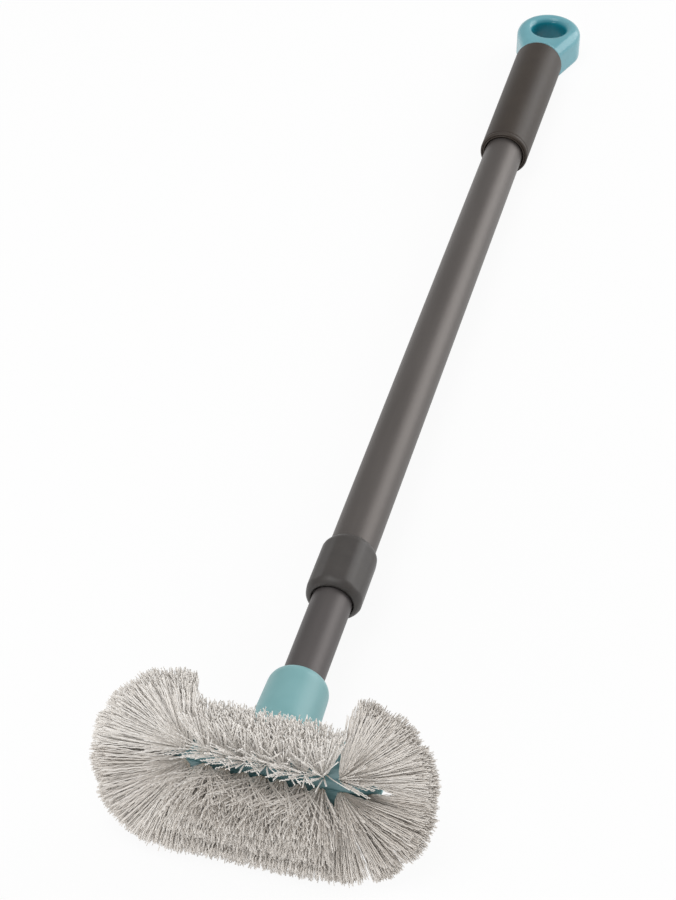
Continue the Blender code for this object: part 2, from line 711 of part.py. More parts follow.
def main():
    clear_scene()
    teal = make_material("teal_plastic", (0.23, 0.41, 0.42), 0.38)
    dark = make_material("dark_plastic", (0.072, 0.064, 0.061), 0.42)
    soft = make_material("soft_grip", (0.088, 0.077, 0.070), 0.62)
    paint_outer = make_material("outer_tube_paint", (0.16, 0.15, 0.145), 0.38, 0.3)
    paint_inner = make_material("inner_tube_paint", (0.15, 0.145, 0.14), 0.34, 0.3)
    bristle = make_material("bristle", (0.62, 0.59, 0.55), 0.55)
    natural = make_material("natural_plastic", (0.55, 0.55, 0.53), 0.5)
    steel = make_material("steel", (0.5, 0.5, 0.5), 0.3, 1.0)

    frame = make_empty("lying_frame", None, (0, 0, AXIS_HEIGHT_AT_HEAD * math.cos(LYING_PITCH)), -LYING_PITCH)
    collar_axis = make_empty("collar_axis", frame, (0, COLLAR_BOTTOM, 0))
    slide = make_empty("telescope_slide", frame)
    head = make_empty("head_turn_axis", slide)
    head_frame = make_empty("head_frame", head, (0, 0, FACE_ABOVE_AXIS), HEAD_TILT)

    outer_tube = build_tubes(frame, head, paint_outer, paint_inner)
    ring = build_ring(frame, teal)
    build_pin(frame, steel, ring, outer_tube)
    build_grip(frame, soft)
    build_ferrule(frame, natural)
    build_collet(frame, natural)
    build_collar(collar_axis, dark)
    build_bush(slide, natural)
    build_insert(head, dark)
    build_head_block(head, head_frame, teal)
    strands = build_all_bristles(head_frame, bristle)
    print("strands", len(strands), "least gap between two of them", round(least_gap(strands) * 1000, 2), "mm")
    settle(frame)


main()
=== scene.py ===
import json
import math
from functools import partial

import bmesh
import bpy
from mathutils import Matrix, Vector


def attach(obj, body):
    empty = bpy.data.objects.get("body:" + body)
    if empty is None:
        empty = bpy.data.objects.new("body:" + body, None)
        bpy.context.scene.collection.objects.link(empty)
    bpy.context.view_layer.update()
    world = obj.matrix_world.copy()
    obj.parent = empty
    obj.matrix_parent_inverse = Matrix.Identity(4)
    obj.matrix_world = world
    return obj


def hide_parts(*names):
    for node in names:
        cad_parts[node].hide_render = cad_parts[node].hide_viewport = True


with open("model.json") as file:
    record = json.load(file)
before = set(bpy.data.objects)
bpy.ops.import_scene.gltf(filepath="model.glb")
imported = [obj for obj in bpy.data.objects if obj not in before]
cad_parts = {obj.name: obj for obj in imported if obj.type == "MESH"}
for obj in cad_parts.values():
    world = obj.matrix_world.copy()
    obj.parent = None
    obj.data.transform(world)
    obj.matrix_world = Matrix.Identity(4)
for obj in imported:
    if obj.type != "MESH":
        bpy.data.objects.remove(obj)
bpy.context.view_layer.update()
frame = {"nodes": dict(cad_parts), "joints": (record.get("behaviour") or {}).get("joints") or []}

# Places are in millimetres in the handle's own frame: x along the head, y up the handle from the middle
# of the head's face, z out of the side that faces up. handleFrame takes them to metres in the world.
mm = 0.001
# How the head stands on the handle: its turning joint's place, and the lift and tilt of its face
headPose = {"jointPlace": 55.0, "faceLift": 6.2, "tiltDeg": 60.0}
headTurn = next(joint for joint in frame["joints"] if joint["name"] == "head_turn")
handleAxis = Vector(headTurn["axis"]).normalized()
headPlace = Vector(headTurn["pos_m"]) - handleAxis * headPose["jointPlace"] * mm
sideways = Vector((1, 0, 0))
handleTurn = Matrix((sideways, handleAxis, sideways.cross(handleAxis))).transposed().to_4x4()
handleMetres = Matrix.Translation(headPlace) @ handleTurn
handleFrame = handleMetres @ Matrix.Scale(mm, 4)
headTilt = Matrix.Rotation(math.radians(headPose["tiltDeg"]), 4, "X")
headFrame = handleFrame @ Matrix.Translation((0, 0, headPose["faceLift"])) @ headTilt
collection = bpy.context.scene.collection


def linear(hexColour):
    channels = [int(hexColour[i:i + 2], 16) / 255 for i in (1, 3, 5)]
    return [c / 12.92 if c <= 0.04045 else ((c + 0.055) / 1.055) ** 2.4 for c in channels] + [1.0]


def addNode(tree, kind, settings=None, links=None):
    # A link may name one output, or a node, which stands for its first output
    node = tree.nodes.new(kind)
    for name, value in (settings or {}).items():
        if isinstance(name, int) or name in node.inputs:
            node.inputs[name].default_value = value
        else:
            setattr(node, name, value)
    for name, source in (links or {}).items():
        output = source.outputs[0] if isinstance(source, bpy.types.Node) else source
        tree.links.new(output, node.inputs[name])
    return node


def newFinish(name, sockets):
    material = bpy.data.materials.new(name)
    material.use_nodes = True
    tree = material.node_tree
    shader = tree.nodes["Principled BSDF"]
    for socket, value in sockets.items():
        shader.inputs[socket].default_value = value
    return material, tree, shader


def speckle(tree, shader, look):
    # Colour drifts between two hexes over patches, the roughness with it, and a fine bump makes the grain
    place = addNode(tree, "ShaderNodeTexCoord").outputs["Object"]
    mapped = addNode(tree, "ShaderNodeMapping", {"Scale": look.get("stretch", (1, 1, 1))},
                     {"Vector": place})
    patch = addNode(tree, "ShaderNodeTexNoise",
                    {"Scale": 1000 / look["patchMm"], "Detail": 3.0, "Roughness": 0.55}, {"Vector": mapped})
    colour = addNode(tree, "ShaderNodeValToRGB", {}, {"Fac": patch})
    stops = (0.3, look["dark"]), (0.7, look["light"])
    for element, (position, hexColour) in zip(colour.color_ramp.elements, stops):
        element.position = position
        element.color = linear(hexColour)
    smoothest, roughest = look["roughness"]
    gloss = addNode(tree, "ShaderNodeMapRange", {"To Min": smoothest, "To Max": roughest}, {"Value": patch})
    grain = addNode(tree, "ShaderNodeTexNoise", {"Scale": 1000 / look["grainMm"], "Detail": 2.0},
                    {"Vector": mapped})
    bump = addNode(tree, "ShaderNodeBump", {"Strength": 0.5, "Distance": look["grainDepthMm"] * mm},
                   {"Height": grain})
    tree.links.new(colour.outputs["Color"], shader.inputs["Base Color"])
    tree.links.new(gloss.outputs["Result"], shader.inputs["Roughness"])
    tree.links.new(bump.outputs["Normal"], shader.inputs["Normal"])
    return colour, bump, place


def plainFinish(name, look):
    material, tree, shader = newFinish(name, look["sockets"])
    speckle(tree, shader, look)
    return material


# The real grains are near 0.1 mm, too fine to show, so every grainMm below is drawn coarser

# Glass-filled polypropylene, moulded against a fine matt texture: dark warm grey with a soft sheen
darkPolypropylene = {"dark": "#3D3937", "light": "#44403D", "patchMm": 9.0, "grainMm": 0.5,
                     "grainDepthMm": 0.018, "roughness": (0.42, 0.50), "sockets": {"IOR": 1.49}}
# Thermoplastic elastomer, soft moulded: a dull brown-grey that lifts a little at grazing angles
softElastomer = {"dark": "#362E28", "light": "#3D352E", "patchMm": 14.0, "grainMm": 0.6,
                 "grainDepthMm": 0.02, "roughness": (0.44, 0.52),
                 "sockets": {"IOR": 1.50, "Specular IOR Level": 0.35}}
# Steel tube, powder coated in a satin grey with a little metal flake: rubbed smoother along its length
outerPaint = {"dark": "#5E5956", "light": "#66615E", "patchMm": 12.0, "grainMm": 0.5, "grainDepthMm": 0.008,
              "roughness": (0.42, 0.50), "stretch": (1.0, 0.12, 1.0), "sockets": {"Metallic": 0.5}}
innerPaint = {**outerPaint, "dark": "#5A5655", "light": "#615C5B"}
# Acetal, uncoloured and moulded smooth: a milky white with an even, waxy gloss
naturalAcetal = {"dark": "#D9D8D2", "light": "#E2E1DC", "patchMm": 8.0, "grainMm": 0.6,
                 "grainDepthMm": 0.006, "roughness": (0.32, 0.40), "sockets": {"IOR": 1.48}}
# Mild steel pin, zinc plated: a cool bright grey with faint lines from the drawing die
platedSteel = {"dark": "#A9ADB0", "light": "#BFC3C6", "patchMm": 3.0, "grainMm": 0.3, "grainDepthMm": 0.004,
               "roughness": (0.26, 0.34), "stretch": (0.1, 1.0, 1.0), "sockets": {"Metallic": 1.0}}

# Polypropylene, injection moulded and lightly spark eroded: an even satin teal, a little waxy
tealPolypropylene = {
    "dark": "#7BABAE",
    "light": "#84B3B6",
    "patchMm": 18.0,
    "grainMm": 0.45,
    "grainDepthMm": 0.012,
    "roughness": (0.36, 0.44),
    "sockets": {"IOR": 1.49},
    # The face colour is painted shade, for the shade that falls on the face between the tufts
    "faceShadeColour": "#567C81",
    "faceShadeDepthMm": (5.5, 3.0),  # under the face: where the dull colour starts, and where it is full
    "seamHalfWidthMm": 0.16,
    "seamHeightMm": 0.08,
    "seamStrength": 0.25,
}


def mouldedTeal():
    look = tealPolypropylene
    material, tree, shader = newFinish("mouldedTealPolypropylene", look["sockets"])
    colour, bump, place = speckle(tree, shader, look)
    # Painted shade: the face between the tufts is drawn a darker teal for the shade the bristles cast there;
    # it is told by its height on the head
    normal = headFrame.col[2].xyz.normalized()
    face = normal.dot(headFrame.translation)
    deep, shallow = look["faceShadeDepthMm"]
    height = addNode(tree, "ShaderNodeVectorMath", {"operation": "DOT_PRODUCT", 1: normal}, {0: place})
    near = addNode(tree, "ShaderNodeMapRange",
                   {"From Min": face - deep * mm, "From Max": face - shallow * mm},
                   {"Value": height.outputs["Value"]})
    faceShaded = addNode(tree, "ShaderNodeMix", {"data_type": "RGBA", 7: linear(look["faceShadeColour"])},
                     {0: near, 6: colour})
    tree.links.new(faceShaded.outputs[2], shader.inputs["Base Color"])
    # The line where the mould's halves met runs along the middle of the moulding
    axes = addNode(tree, "ShaderNodeSeparateXYZ", {}, {"Vector": place})
    away = addNode(tree, "ShaderNodeMath", {"operation": "ABSOLUTE"}, {0: axes.outputs["X"]})
    seam = addNode(tree, "ShaderNodeMapRange",
                   {"From Max": look["seamHalfWidthMm"] * mm, "To Min": 1.0, "To Max": 0.0}, {"Value": away})
    ridge = addNode(tree, "ShaderNodeBump",
                    {"Strength": look["seamStrength"], "Distance": look["seamHeightMm"] * mm},
                    {"Height": seam, "Normal": bump})
    tree.links.new(ridge.outputs["Normal"], shader.inputs["Normal"])
    return material


# Polyester filament, drawn and crimped: off-white, each one a little different, drawn warmer and darker down
# at the root as painted shade where the tufts shade their roots
# The dark grey end serves each strand's own random tone and the painted shade of the lower and right tufts
filament = {"darkToneAndShade": "#CBC4BC", "pale": "#F9F6F2", "root": "#DDCDB8", "rootFade": (0.03, 0.16),
            "rootShadeShare": 0.75, "grainMm": 0.9, "grainDepthMm": 0.03, "grainStrength": 0.4,
            "sockets": {"IOR": 1.53, "Roughness": 0.55}}


def crimpedFilament():
    look = filament
    material, tree, shader = newFinish("crimpedPolyesterFilament", look["sockets"])
    tone = addNode(tree, "ShaderNodeAttribute", {"attribute_name": "tone"})
    along = addNode(tree, "ShaderNodeAttribute", {"attribute_name": "along"})
    colour = addNode(tree, "ShaderNodeValToRGB", {}, {"Fac": tone.outputs["Fac"]})
    for element, word in zip(colour.color_ramp.elements, ("darkToneAndShade", "pale")):
        element.color = linear(look[word])
    # Painted shade: each strand is drawn darker and warmer towards its root
    start, end = look["rootFade"]
    rooted = addNode(tree, "ShaderNodeMapRange",
                     {"From Min": start, "From Max": end, "To Min": look["rootShadeShare"], "To Max": 0.0},
                     {"Value": along.outputs["Fac"]})
    rootShaded = addNode(tree, "ShaderNodeMix", {"data_type": "RGBA", 7: linear(look["root"])},
                   {0: rooted, 6: colour})
    place = addNode(tree, "ShaderNodeTexCoord").outputs["Object"]
    grain = addNode(tree, "ShaderNodeTexNoise", {"Scale": 1000 / look["grainMm"], "Detail": 2.0},
                    {"Vector": place})
    bump = addNode(tree, "ShaderNodeBump",
                   {"Strength": look["grainStrength"], "Distance": look["grainDepthMm"] * mm},
                   {"Height": grain})
    tree.links.new(rootShaded.outputs[2], shader.inputs["Base Color"])
    tree.links.new(bump.outputs["Normal"], shader.inputs["Normal"])
    return material


# The ring is polypropylene moulded in a polished tool: the same plastic, deeper in colour and glossy
polishedPolypropylene = {"dark": "#68A3AE", "light": "#71ABB5", "patchMm": 14.0, "grainMm": 0.6,
                         "grainDepthMm": 0.004, "roughness": (0.20, 0.26), "sockets": {"IOR": 1.49},
                         # How far from the eye's axis its painted shade is full, and where it ends
                         "eyeShadeColour": "#1F8595", "eyeShadeReachMm": (10.6, 12.3)}

# Hanging ring: a thick rounded eye on a round neck, with the stem that plugs the outer tube
hangingRing = {
    "place": 619.5,
    "radius": 20.0,
    "eye": 10.5,
    "top": 7.0,
    "bottom": -13.5,
    "edge": 6.0,
    "foot": 2.4,
    "rim": 4.0,
    "footRadius": 11.5,
    "footPlace": 592.3,
    # The stem and the neck, from inside the tube to inside the ring: radius and place up the handle
    "plug": [(9.5, 555.8), (9.5, 587.3), (13.8, 587.3), (14.4, 587.9), (14.3, 588.8), (11.9, 591.8),
             (10.2, 594.8), (6.2, 597.9)],
    "pinHole": 1.8,
    "pinPlace": 570.3,
    "pinReach": 15.0,
    "pinSteps": 32,
    "steps": 96,
    "voxel": 0.42,
    "easing": 4,
}


def polishedTeal():
    look = polishedPolypropylene
    material, tree, shader = newFinish("polishedTealPolypropylene", look["sockets"])
    colour, bump, place = speckle(tree, shader, look)
    # Painted shade: the wall of the eye is drawn a deeper teal than the outside, for the shade inside the
    # eye; it is told by its distance from the eye's axis
    middle = handleFrame @ Vector((0, hangingRing["place"], 0))
    upright = handleFrame.col[2].xyz.normalized()
    offset = addNode(tree, "ShaderNodeVectorMath", {"operation": "SUBTRACT", 1: middle}, {0: place})
    across = addNode(tree, "ShaderNodeVectorMath", {"operation": "CROSS_PRODUCT", 1: upright}, {0: offset})
    distance = addNode(tree, "ShaderNodeVectorMath", {"operation": "LENGTH"}, {0: across})
    deep, shallow = look["eyeShadeReachMm"]
    near = addNode(tree, "ShaderNodeMapRange", {"From Min": deep * mm, "From Max": shallow * mm},
                   {"Value": distance.outputs["Value"]})
    eyeShaded = addNode(tree, "ShaderNodeMix", {"data_type": "RGBA", 6: linear(look["eyeShadeColour"])},
                     {0: near, 7: colour})
    tree.links.new(eyeShaded.outputs[2], shader.inputs["Base Color"])
    return material


tealFinish = mouldedTeal()
ringFinish = polishedTeal()
darkFinish = plainFinish("mouldedDarkPolypropylene", darkPolypropylene)
gripFinish = plainFinish("softTouchElastomer", softElastomer)
outerTubeFinish = plainFinish("outerTubePowderCoat", outerPaint)
innerTubeFinish = plainFinish("innerTubePowderCoat", innerPaint)
acetalFinish = plainFinish("mouldedNaturalAcetal", naturalAcetal)
steelFinish = plainFinish("zincPlatedSteel", platedSteel)
filamentFinish = crimpedFilament()
print("finishes made")


def softCorners(corners, arcSteps=6):
    # Closed outline from (across, along, rounding): each corner is cut back by its rounding and curved
    points = []
    for i, (across, along, rounding) in enumerate(corners):
        here = Vector((across, along))
        if rounding <= 0:
            points.append(here)
            continue
        before = here + (Vector(corners[i - 1][:2]) - here).normalized() * rounding
        after = here + (Vector(corners[(i + 1) % len(corners)][:2]) - here).normalized() * rounding
        for k in range(arcSteps + 1):
            t = k / arcSteps
            points.append(before.lerp(here, t).lerp(here.lerp(after, t), t))
    return points


def around(steps):
    # The cosine and sine of each step round a circle
    angles = [2 * math.pi * i / steps for i in range(steps)]
    return [(math.cos(a), math.sin(a)) for a in angles]


def quarter(steps=8):
    # The sine and cosine of each step from 0 to 90 degrees, for rounded edges
    angles = [math.pi / 2 * i / steps for i in range(steps + 1)]
    return [(math.sin(a), math.cos(a)) for a in angles]


def skin(name, rings, capped=False, place=None, sharpDeg=50.0):
    # A closed skin through rings of points; capped ends are fans about their middles, so no pole stays open
    bm = bmesh.new()
    loops = [[bm.verts.new(point) for point in ring] for ring in rings]
    pairs = list(zip(loops[:-1], loops[1:]))
    if not capped:
        pairs.append((loops[-1], loops[0]))
    for low, high in pairs:
        for i in range(len(low)):
            j = (i + 1) % len(low)
            bm.faces.new((low[i], low[j], high[j], high[i]))
    if capped:
        for loop in (loops[0], loops[-1]):
            middle = bm.verts.new(sum((vert.co for vert in loop), Vector()) / len(loop))
            for i in range(len(loop)):
                bm.faces.new((loop[i], loop[(i + 1) % len(loop)], middle))
    bmesh.ops.recalc_face_normals(bm, faces=bm.faces)
    mesh = bpy.data.meshes.new(name)
    bm.to_mesh(mesh)
    bm.free()
    if place:
        mesh.transform(place)
    mesh.shade_smooth()
    mesh.set_sharp_from_angle(angle=math.radians(sharpDeg))
    return mesh


def turned(name, outline, steps=112, capped=False):
    # A round skin about the handle's axis, from an outline of radius and place up the handle
    rings = []
    for point in outline:
        radius, along = Vector(point)
        rings.append([Vector((radius * c, along, radius * s)) for c, s in around(steps)])
    return skin(name, rings, capped)


def addObject(name, data):
    obj = bpy.data.objects.new(name, data)
    collection.objects.link(obj)
    return obj


def finishPiece(name, mesh, body, finish, nodes, place=handleFrame):
    mesh.transform(place)
    mesh.materials.clear()
    mesh.materials.append(finish)
    piece = addObject(name, mesh)
    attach(piece, body)
    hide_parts(*nodes)
    print(name, len(mesh.polygons), "faces")


def plainMesh(obj):
    # The evaluated object as a mesh of its own; the object and its modifiers' objects leave the scene
    bpy.context.view_layer.update()
    evaluated = obj.evaluated_get(bpy.context.evaluated_depsgraph_get())
    mesh = bpy.data.meshes.new_from_object(evaluated)
    others = [modifier.object for modifier in obj.modifiers if getattr(modifier, "object", None)]
    for used in [obj] + others:
        bpy.data.objects.remove(used, do_unlink=True)
    return mesh


def fusedMesh(base, parts, voxel, easing):
    # The parts joined to the base or cut from it, under one even skin that is eased as a moulding is
    for operation, part in parts:
        modifier = base.modifiers.new(part.name, "BOOLEAN")
        modifier.operation = operation
        modifier.object = part
        modifier.solver = "EXACT"
    remesh = base.modifiers.new("fuse", "REMESH")
    remesh.mode = "VOXEL"
    remesh.voxel_size = voxel
    smooth = base.modifiers.new("ease", "SMOOTH")
    smooth.factor = 0.5
    smooth.iterations = easing
    mesh = plainMesh(base)
    mesh.shade_smooth()
    return mesh


# Outer tube, 22 mm with a rolled end at the collar, and inner tube, 19 mm, from the plug up to the bush
outerTube = {"bore": 9.8, "radius": 11.0, "low": 115.9, "high": 583.0, "lip": 0.35}
innerTube = {"bore": 8.3, "radius": 9.5, "low": 23.6, "high": 505.5, "lip": 0.3}


def makeTube(name, tube, body, finish, node):
    corners = [("bore", "low"), ("radius", "low"), ("radius", "high"), ("bore", "high")]
    outline = softCorners([(tube[wall], tube[end], tube["lip"]) for wall, end in corners])
    finishPiece(name, turned(name, outline), body, finish, [node])


# Grip: a slightly tapered sleeve whose lower lip is rounded and has a thin bead round the opening
gripSleeve = {
    "low": 481.3,
    "high": 587.0,
    # Corners from the outside in: radius, distance from that end and rounding
    "lowerEnd": [(14.06, 3.6, 0.5), (13.65, 2.6, 0.5), (14.1, 1.6, 0.4), (14.0, 0.0, 1.1),
                 (13.0, 0.0, 0.3), (12.8, 0.8, 0.2), (12.55, 0.8, 0.1), (12.55, -0.1, 0.4),
                 (11.65, -0.1, 0.4), (11.3, 1.6, 0.5)],
    "upperEnd": [(11.3, 0.0, 0.2), (14.63, 0.0, 0.9)],
    "steps": 128,
}


def makeGripSleeve():
    grip = gripSleeve
    corners = [(across, grip["low"] + along, rounding) for across, along, rounding in grip["lowerEnd"]]
    corners += [(across, grip["high"] + along, rounding) for across, along, rounding in grip["upperEnd"]]
    mesh = turned("gripSleeve", softCorners(corners), grip["steps"])
    finishPiece("gripSleeve", mesh, "handle", gripFinish, ["grip_sleeve"])


# Twist collar: eight shallow flats that fade into long chamfers at both ends
twistCollar = {
    "low": 105.3,
    "length": 33.4,
    "radius": 13.6,
    "flats": 8,
    "flatDepth": 0.34,
    "flatSharpness": 9.0,
    "straightSteps": 5,
    "turnDeg": -7.0,
    "endRadius": 11.6,
    "chamfer": 4.4,
    "chamferSteps": 10,
    "lowerLift": 0.35,  # the lower chamfer starts this far up, and the lip of the hole fills the rest
    # Powers of the share of a chamfer: how full it is, how it runs up the handle, how the flats come in
    "fullness": 0.9,
    "run": 1.15,
    "flatFade": 1.5,
    "wall": 1.75,
    "topBore": 11.3,
    "topDepth": 4.2,
    "topEdge": 0.1,
    "hole": 9.95,
    "lip": 2.7,
    "holeEdge": [(0, 0.7), (0.15, 0.25), (0.5, 0), (0.85, 0.05)],  # out and up from the hole's low end
    "steps": 160,
}


def collarRadius(angle, radius, flatness):
    # The flats' plain distance blended softly into the round between them
    collar = twistCollar
    sector = 2 * math.pi / collar["flats"]
    fromFlat = (angle + sector / 2) % sector - sector / 2
    flat = (radius - collar["flatDepth"]) / math.cos(fromFlat)
    sharpness = collar["flatSharpness"]
    base = 13.0  # taken off first, so that the powers stay small
    soft = -math.log(math.exp(-sharpness * radius + sharpness * base) +
                     math.exp(-sharpness * flat + sharpness * base)) / sharpness + base
    return radius + (soft - radius) * flatness


def makeTwistCollar():
    collar = twistCollar
    low = collar["low"]
    high = low + collar["length"]
    radius = collar["radius"]
    chamfer = collar["chamfer"]
    lift = collar["lowerLift"]
    hole = collar["hole"]
    top = collar["topBore"]
    straight = collar["length"] - 2 * chamfer
    shares = [k / collar["chamferSteps"] for k in range(collar["chamferSteps"] + 1)]

    def chamferStep(t, start, length):
        # Radius, place up the handle and how flat the flats are, at a share t of a chamfer
        fullness = math.sin(t * math.pi / 2) ** collar["fullness"]
        across = collar["endRadius"] + (radius - collar["endRadius"]) * fullness
        return across, start + length * t ** collar["run"], t ** collar["flatFade"]

    # Up the outside, then down the inside
    steps = collar["straightSteps"]
    outline = [chamferStep(t, low + lift, chamfer - lift) for t in shares]
    outline += [(radius, low + chamfer + straight * k / steps, 1.0) for k in range(1, steps)]
    outline += [chamferStep(t, high, -chamfer) for t in reversed(shares)]
    edge = collar["topEdge"]
    shoulder = high - collar["topDepth"]
    inside = radius - collar["wall"]
    lip = low + collar["lip"]
    outline += [(top + edge, high, 0), (top, high - edge, 0), (top, shoulder, 0), (inside, shoulder, 0)]
    outline += [(inside, lip, 0), (hole, lip, 0)]
    outline += [(hole + out, low + up, 0) for out, up in collar["holeEdge"]]
    rings = []
    for across, along, flatness in outline:
        ring = []
        for i in range(collar["steps"]):
            angle = 2 * math.pi * i / collar["steps"]
            r = collarRadius(angle, across, flatness)
            a = angle + math.radians(collar["turnDeg"])
            ring.append(Vector((r * math.cos(a), along, r * math.sin(a))))
        rings.append(ring)
    mesh = skin("twistCollar", rings)
    finishPiece("twistCollar", mesh, "collar", darkFinish, ["twist_collar"])


def ringOutline(shrink, arcSteps=72, sideSteps=10, footSteps=6):
    # Plan of the ring drawn in to its neck, as points about the eye, moved inwards by shrink
    ring = hangingRing
    foot = Vector((ring["footRadius"], ring["footPlace"] - ring["place"]))
    tangent = math.atan2(foot.y, foot.x) + math.acos(ring["radius"] / foot.length)
    points = []
    for i in range(arcSteps + 1):
        angle = tangent + (math.pi - 2 * tangent) * i / arcSteps
        points.append((ring["radius"] - shrink) * Vector((math.cos(angle), math.sin(angle))))
    narrow = Vector((-(foot.x - shrink), foot.y))
    wide = Vector((foot.x - shrink, foot.y))
    left = points[-1]
    right = points[0]
    points += [left.lerp(narrow, i / sideSteps) for i in range(1, sideSteps + 1)]
    points += [narrow.lerp(wide, i / footSteps) for i in range(1, footSteps + 1)]
    points += [wide.lerp(right, i / sideSteps) for i in range(1, sideSteps)]
    return points


def makeHangingRing():
    ring = hangingRing
    place = ring["place"]
    bottom = ring["bottom"]
    top = ring["top"]

    def roundedSide(low, high):
        # How far in and at what height, from the bottom up, with the edges rounded by low and high
        side = [(low * (1 - sine), bottom + low * (1 - cosine)) for sine, cosine in quarter()]
        return side + [(high * (1 - cosine), top - high * (1 - sine)) for sine, cosine in quarter()]

    rings = [[Vector((p.x, p.y + place, height)) for p in ringOutline(shrink)]
             for shrink, height in roundedSide(ring["foot"], ring["edge"])]
    body = addObject("ringBody", skin("ringBody", rings, True))
    plug = addObject("ringPlug", turned("ringPlug", ring["plug"], ring["steps"], True))
    # The eye flares at both ends, and its cut goes 1 mm past the faces
    rim = ring["rim"]
    flare = [(rim + 1.0, bottom - 1.0), *roundedSide(rim, rim), (rim + 1.0, top + 1.0)]
    eyeRings = []
    for widen, height in flare:
        radius = ring["eye"] + widen
        eyeRings.append([Vector((radius * c, place + radius * s, height))
                         for c, s in around(ring["steps"])])
    eye = addObject("ringEye", skin("ringEye", eyeRings, True))
    hole = ring["pinHole"]
    holeRings = [[Vector((x, ring["pinPlace"] + hole * c, hole * s)) for c, s in around(ring["pinSteps"])]
                 for x in (-ring["pinReach"], ring["pinReach"])]
    pinHole = addObject("ringPinHole", skin("ringPinHole", holeRings, True))
    parts = [("UNION", plug), ("DIFFERENCE", eye), ("DIFFERENCE", pinHole)]
    mesh = fusedMesh(body, parts, ring["voxel"], ring["easing"])
    finishPiece("hangingRing", mesh, "handle", ringFinish, ["hanging_ring"])


# Head moulding: an oblong block with sloped facets, a rib between the rows and the handle's socket behind
headMoulding = {
    "halfSpan": 34.0,
    "radius": 14.8,
    "flatRadius": 7.5,
    "facetDrop": 5.0,
    "depth": 14.0,
    "faceInset": 3.0,
    "faceEdge": 1.2,
    "backInset": 6.0,
    "backEdge": 2.4,
    "ribHalfWidth": 1.9,
    "ribHeight": 0.8,
    "ribFoot": -8.0,
    "noseReach": 1.2,
    "rootRadius": 11.5,
    "rootPlace": 6.0,
    "swellRadius": 14.8,
    "swellPlace": 26.0,
    "socketRadius": 14.1,
    "socketTop": 55.0,
    "shoulder": 6.0,
    "shoulderSteps": 12,
    "bore": 9.8,
    "rimWidth": 0.7,
    "step": 20.3,
    "thread": 6.3,
    "threadLow": 10.3,
    "pastTop": 5.0,
    "steps": 128,
    "voxel": 0.5,
    "easing": 3,
}


def oblong(radius, height, endSteps=28):
    points = []
    for side in (1, -1):
        for i in range(endSteps + 1):
            angle = side * math.pi / 2 - math.pi * i / endSteps
            x = side * headMoulding["halfSpan"] + radius * math.cos(angle)
            points.append(Vector((x, radius * math.sin(angle), height)))
    return points


def makeHeadMoulding():
    head = headMoulding
    toHandle = handleFrame.inverted() @ headFrame
    radius = head["radius"]
    flat = head["flatRadius"]
    drop = head["facetDrop"]
    depth = head["depth"]
    side = [(flat - head["faceInset"], 0.0, 0), (flat, 0.0, head["faceEdge"]),
            (radius, -drop, head["faceEdge"]), (radius, -depth, head["backEdge"]),
            (radius - head["backInset"], -depth, 0)]
    blockRings = [oblong(across, height) for across, height in softCorners(side)]
    block = addObject("block", skin("block", blockRings, True, toHandle))
    tip = head["halfSpan"] + radius + head["noseReach"]
    bend = head["halfSpan"] + flat
    rise = head["ribHeight"]
    foot = head["ribFoot"]
    ribSide = [(-tip, foot), (-tip, rise - drop), (-bend, rise), (bend, rise), (tip, rise - drop),
               (tip, foot)]
    ribRings = [[Vector((x, s * head["ribHalfWidth"], z)) for x, z in ribSide] for s in (-1, 1)]
    rib = addObject("rib", skin("rib", ribRings, True, toHandle))
    rim = head["bore"] + head["rimWidth"]
    top = head["socketTop"]
    profile = [(head["rootRadius"], head["rootPlace"]), (head["swellRadius"], head["swellPlace"])]
    profile += [(rim + (head["socketRadius"] - rim) * cosine, top - head["shoulder"] * (1 - sine))
                for sine, cosine in quarter(head["shoulderSteps"])]
    socket = addObject("socket", turned("socket", profile, head["steps"], True))
    boreProfile = [(head["thread"], head["threadLow"]), (head["thread"], head["step"]),
                   (head["bore"], head["step"]), (head["bore"], top + head["pastTop"])]
    bore = addObject("bore", turned("bore", boreProfile, head["steps"], True))
    parts = [("UNION", rib), ("UNION", socket), ("DIFFERENCE", bore)]
    mesh = fusedMesh(block, parts, head["voxel"], head["easing"])
    finishPiece("headMoulding", mesh, "head", tealFinish, ["head_block"])


makeTube("outerTube", outerTube, "handle", outerTubeFinish, "outer_tube")
makeTube("innerTube", innerTube, "head", innerTubeFinish, "inner_tube")
makeGripSleeve()
makeTwistCollar()
makeHangingRing()
makeHeadMoulding()
print("tubes, grip, collar, ring and head made")


